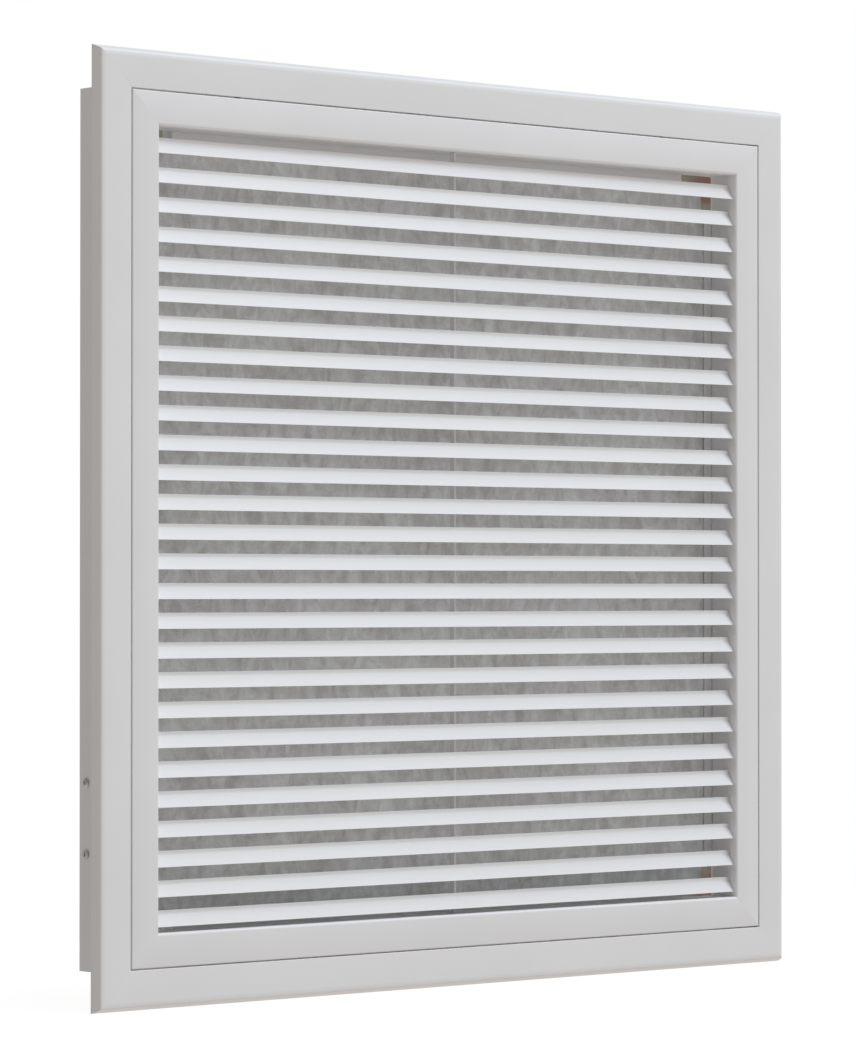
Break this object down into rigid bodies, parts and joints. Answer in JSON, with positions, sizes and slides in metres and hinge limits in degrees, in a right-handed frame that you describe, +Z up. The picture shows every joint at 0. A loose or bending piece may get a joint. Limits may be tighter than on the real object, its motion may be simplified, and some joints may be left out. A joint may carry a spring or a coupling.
{
  "type": "louvred air grille",
  "caption": "Square return-air grille: flanged wall frame with a neck, and a drop-down core of fixed sloping blades that carries a filter mat.",
  "frame": {"origin": "centre of the wall plane, which is the plane of the back of the flange", "axes": "+Z up, -Y towards the room, +Y into the duct, +X to the right seen from the room"},
  "size_m": [0.644, 0.0538, 0.644],
  "materials": {
    "white_powder_coat": "satin",
    "filter_fleece": "matte",
    "zinc_plated_steel": "satin"
  },
  "bodies": {
    "outer_frame": {"outer_frame_top": "white_powder_coat", "outer_frame_bottom": "white_powder_coat", "outer_frame_left": "white_powder_coat", "outer_frame_right": "white_powder_coat", "hinge_bracket_left": "zinc_plated_steel", "hinge_bracket_right": "zinc_plated_steel", "hinge_screw_left_upper": "zinc_plated_steel", "hinge_screw_left_lower": "zinc_plated_steel", "hinge_screw_right_upper": "zinc_plated_steel", "hinge_screw_right_lower": "zinc_plated_steel"},
    "core": {"core_frame_top": "white_powder_coat", "core_frame_bottom": "white_powder_coat", "core_frame_left": "white_powder_coat", "core_frame_right": "white_powder_coat", "louvre_01": "white_powder_coat", "louvre_02": "white_powder_coat", "louvre_03": "white_powder_coat", "louvre_04": "white_powder_coat", "louvre_05": "white_powder_coat", "louvre_06": "white_powder_coat", "louvre_07": "white_powder_coat", "louvre_08": "white_powder_coat", "louvre_09": "white_powder_coat", "louvre_10": "white_powder_coat", "louvre_11": "white_powder_coat", "louvre_12": "white_powder_coat", "louvre_13": "white_powder_coat", "louvre_14": "white_powder_coat", "louvre_15": "white_powder_coat", "louvre_16": "white_powder_coat", "louvre_17": "white_powder_coat", "louvre_18": "white_powder_coat", "louvre_19": "white_powder_coat", "louvre_20": "white_powder_coat", "louvre_21": "white_powder_coat", "louvre_22": "white_powder_coat", "louvre_23": "white_powder_coat", "louvre_24": "white_powder_coat", "louvre_25": "white_powder_coat", "louvre_26": "white_powder_coat", "louvre_27": "white_powder_coat", "core_mullion": "white_powder_coat", "filter_rail_top": "white_powder_coat", "filter_rail_bottom": "white_powder_coat", "filter_rail_left": "white_powder_coat", "filter_rail_right": "white_powder_coat", "hinge_pin_left": "zinc_plated_steel", "hinge_pin_right": "zinc_plated_steel", "catch_body_left": "zinc_plated_steel", "catch_body_right": "zinc_plated_steel"},
    "filter": {"filter_mat": "filter_fleece"},
    "catch_left": {"catch_plunger_left": "zinc_plated_steel"},
    "catch_right": {"catch_plunger_right": "zinc_plated_steel"}
  },
  "joints": [
    {"name": "core_hinge", "type": "hinge", "parent": "outer_frame", "child": "core", "pos_m": [0, -0.002, -0.2818], "axis": [1, 0, 0], "range_deg": [0, 90]},
    {"name": "filter_slide", "type": "slide", "parent": "core", "child": "filter", "axis": [0, 1, 0], "range_m": [0, 0.045]},
    {"name": "catch_left_press", "type": "slide", "parent": "core", "child": "catch_left", "axis": [0, 0, 1], "range_m": [-0.0014, 0], "stiffness_N_per_m": 1500, "springref_m": 0.003},
    {"name": "catch_right_press", "type": "slide", "parent": "core", "child": "catch_right", "axis": [0, 0, 1], "range_m": [-0.0014, 0], "stiffness_N_per_m": 1500, "springref_m": 0.003}
  ]
}
